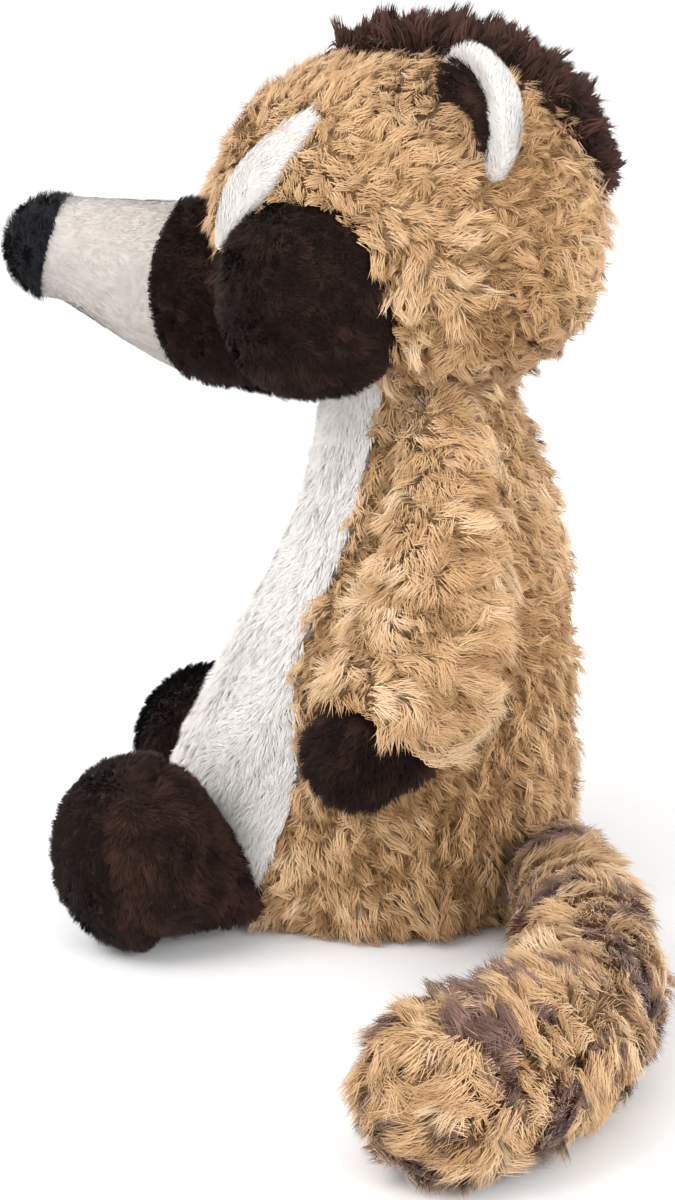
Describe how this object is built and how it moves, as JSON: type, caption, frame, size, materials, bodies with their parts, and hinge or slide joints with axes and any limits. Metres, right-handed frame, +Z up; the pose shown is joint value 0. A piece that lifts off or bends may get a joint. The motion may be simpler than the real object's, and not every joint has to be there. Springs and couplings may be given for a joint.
{
  "type": "plush coati",
  "caption": "Sitting plush coati with a long tapered snout, white belly, dark mask and paws, a tufted mane and a banded tail on the floor.",
  "frame": {"origin": "on the flat seat face, under the middle of the torso", "axes": "+Z up out of the floor, -Y the way the toy looks, +X towards its left side, where the tail lies"},
  "size_m": [0.365, 0.2628, 0.3487],
  "materials": {
    "tan_plush": "long crimped tan pile, darker at the roots, lying in clumps",
    "white_plush": "short thick white pile, slightly brushed",
    "cream_velboa": "very short smooth cream pile",
    "brown_velboa": "short dense dark brown pile with a soft sheen",
    "black_velboa": "very short black pile",
    "mane_plush": "long dark brown pile, standing up in tufts",
    "tail_plush": "long tan pile with dark brown bands and tips",
    "eye_plastic": "glossy near-black plastic"
  },
  "bodies": {
    "root": {"torso": "tan_plush", "head": "tan_plush", "arm_left": "tan_plush", "arm_right": "tan_plush", "belly_panel": "white_plush", "brow_stripe_left": "white_plush", "brow_stripe_right": "white_plush", "ear_left": "white_plush", "ear_right": "white_plush", "snout": "cream_velboa", "mask_band": "brown_velboa", "chin_patch": "brown_velboa", "eye_patch_left": "brown_velboa", "eye_patch_right": "brown_velboa", "ear_lining_left": "brown_velboa", "ear_lining_right": "brown_velboa", "paw_left": "brown_velboa", "paw_right": "brown_velboa", "leg_left": "brown_velboa", "leg_right": "brown_velboa", "foot_left": "brown_velboa", "foot_right": "brown_velboa", "nose": "black_velboa", "mane": "mane_plush", "tail": "tail_plush", "eye_left": "eye_plastic", "eye_right": "eye_plastic"}
  },
  "joints": []
}
